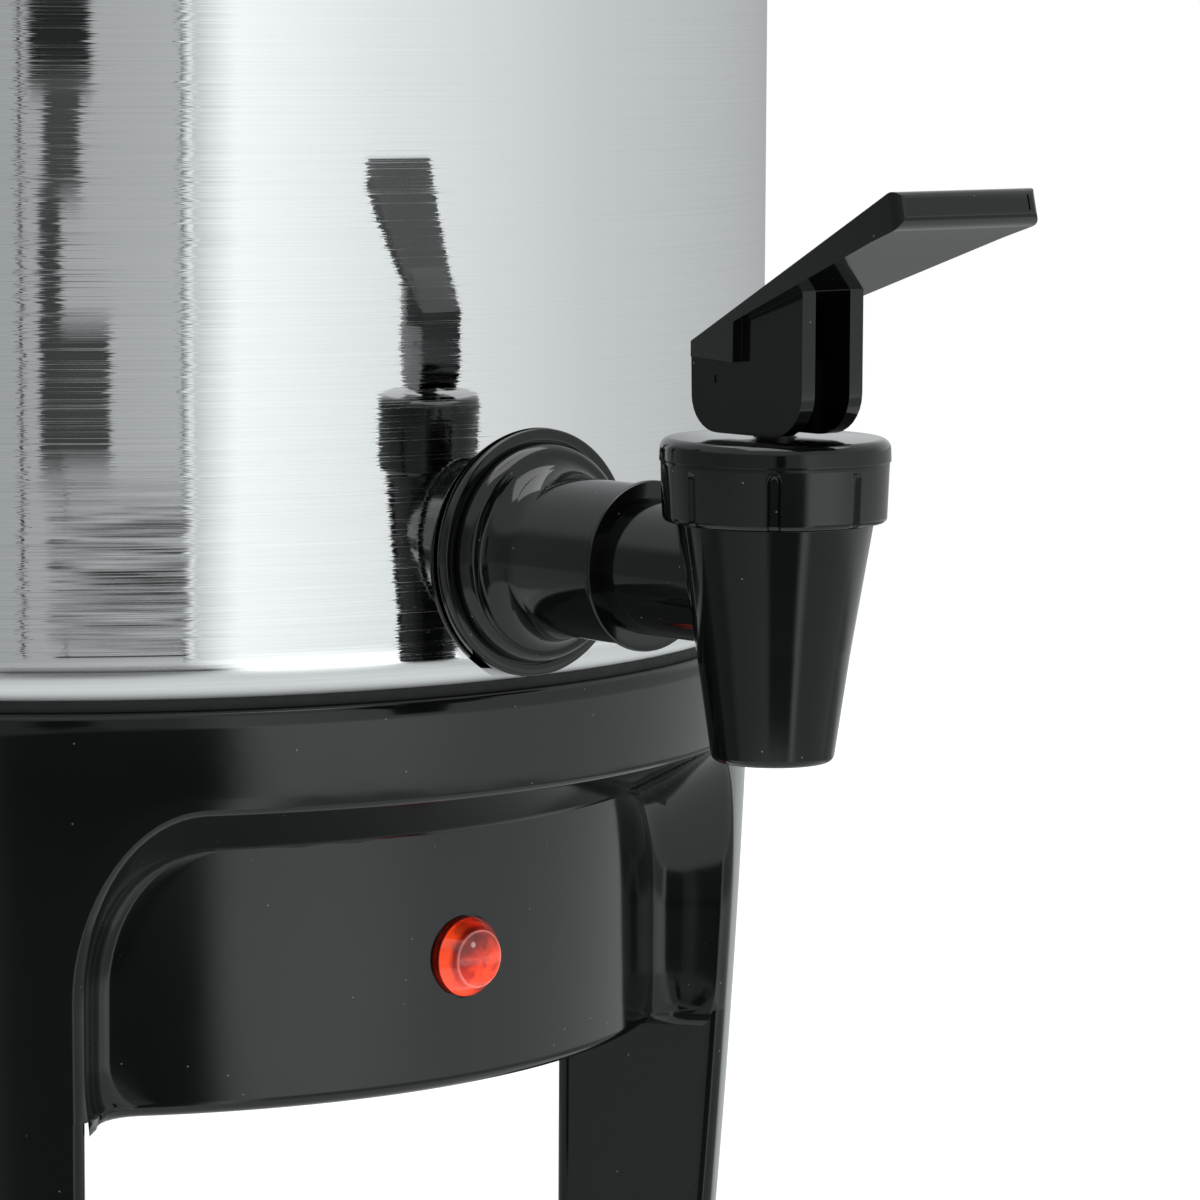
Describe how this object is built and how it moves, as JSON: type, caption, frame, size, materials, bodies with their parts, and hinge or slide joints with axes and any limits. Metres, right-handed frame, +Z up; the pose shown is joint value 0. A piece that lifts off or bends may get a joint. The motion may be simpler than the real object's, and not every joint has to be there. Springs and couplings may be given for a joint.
{
  "type": "coffee urn",
  "caption": "Percolating coffee urn: aluminium tank on a black legged base, lever tap at the front, side handles, lift-off lid with knob, pump with coffee basket inside",
  "frame": {"origin": "centre of the foot circle on the table, under the tank's axis", "axes": "+Z up along the tank's axis, -Y towards the tap, +X to the right of someone who faces the tap's back"},
  "size_m": [0.3364, 0.3448, 0.3851],
  "materials": {
    "tank": "polished, finely brushed around",
    "steel": "satin",
    "zinc": "plain zinc plated",
    "copper_band": "mica and metal band",
    "element": "dark sheath",
    "black_gloss": "glossy moulded",
    "black_matte": "fine matt",
    "white_plastic": "plain",
    "grey_rubber": "matt",
    "black_rubber": "matt",
    "silicone": "soft, milky",
    "lens": "translucent orange red",
    "lamp": "plain",
    "wire": "heat resistant sleeves"
  },
  "bodies": {
    "housing": {"tank": "tank", "heater_well": "steel", "seam_gasket": "black_rubber", "base": "black_gloss", "rubber_feet": "grey_rubber", "bottom_plate": "steel", "plate_screws": "zinc", "centre_stud": "zinc", "centre_nut": "zinc", "heat_shield": "steel", "band_heater": "copper_band", "warming_element": "element", "thermostat": "white_plastic", "thermal_fuse": "zinc", "terminal_block": "white_plastic", "power_inlet": "black_matte", "inlet_screws": "zinc", "wiring": "wire", "pilot_lens": "lens", "pilot_lamp": "lamp", "pilot_clip": "zinc", "escutcheon": "black_gloss", "outer_tap_gasket": "grey_rubber", "inner_tap_gasket": "grey_rubber", "lock_nut": "white_plastic", "spout_body": "black_gloss", "bonnet": "black_gloss", "bonnet_seal": "silicone", "left_handle": "black_matte", "right_handle": "black_matte", "handle_brackets": "steel", "handle_screws": "zinc"},
    "lid": {"lid": "tank", "lid_knob": "black_matte", "knob_washer": "zinc", "knob_screw": "zinc"},
    "pump": {"pump_tube": "steel"},
    "valve": {"pump_valve": "steel"},
    "basket": {"coffee_basket": "tank"},
    "cover": {"basket_cover": "tank"},
    "stem": {"tap_stem": "black_matte", "seat_cup": "silicone", "tap_spring": "steel"},
    "lever": {"lever": "black_gloss", "lever_pin": "steel"}
  },
  "joints": [
    {"name": "lid_lift", "type": "slide", "parent": "housing", "child": "lid", "axis": [0, 0, 1], "range_m": [0, 0.2]},
    {"name": "pump_lift", "type": "slide", "parent": "housing", "child": "pump", "axis": [0, 0, 1], "range_m": [0, 0.02]},
    {"name": "valve_lift", "type": "slide", "parent": "pump", "child": "valve", "axis": [0, 0, 1], "range_m": [0, 0.002]},
    {"name": "basket_lift", "type": "slide", "parent": "pump", "child": "basket", "axis": [0, 0, 1], "range_m": [0, 0.015]},
    {"name": "cover_lift", "type": "slide", "parent": "basket", "child": "cover", "axis": [0, 0, 1], "range_m": [0, 0.006]},
    {"name": "stem_lift", "type": "slide", "parent": "housing", "child": "stem", "axis": [0, 0, 1], "range_m": [0, 0.0029], "deforming": ["tap_spring"]},
    {"name": "lever_tilt", "type": "hinge", "parent": "stem", "child": "lever", "pos_m": [0, -0.1765, 0.1752], "axis": [1, 0, 0], "range_deg": [0, 25], "stiffness_Nm_per_rad": 0.3, "springref_deg": -11.46}
  ],
  "couplings": [
    {"joint": "stem_lift", "follows": "lever_tilt", "m_per_rad": 0.0065}
  ]
}
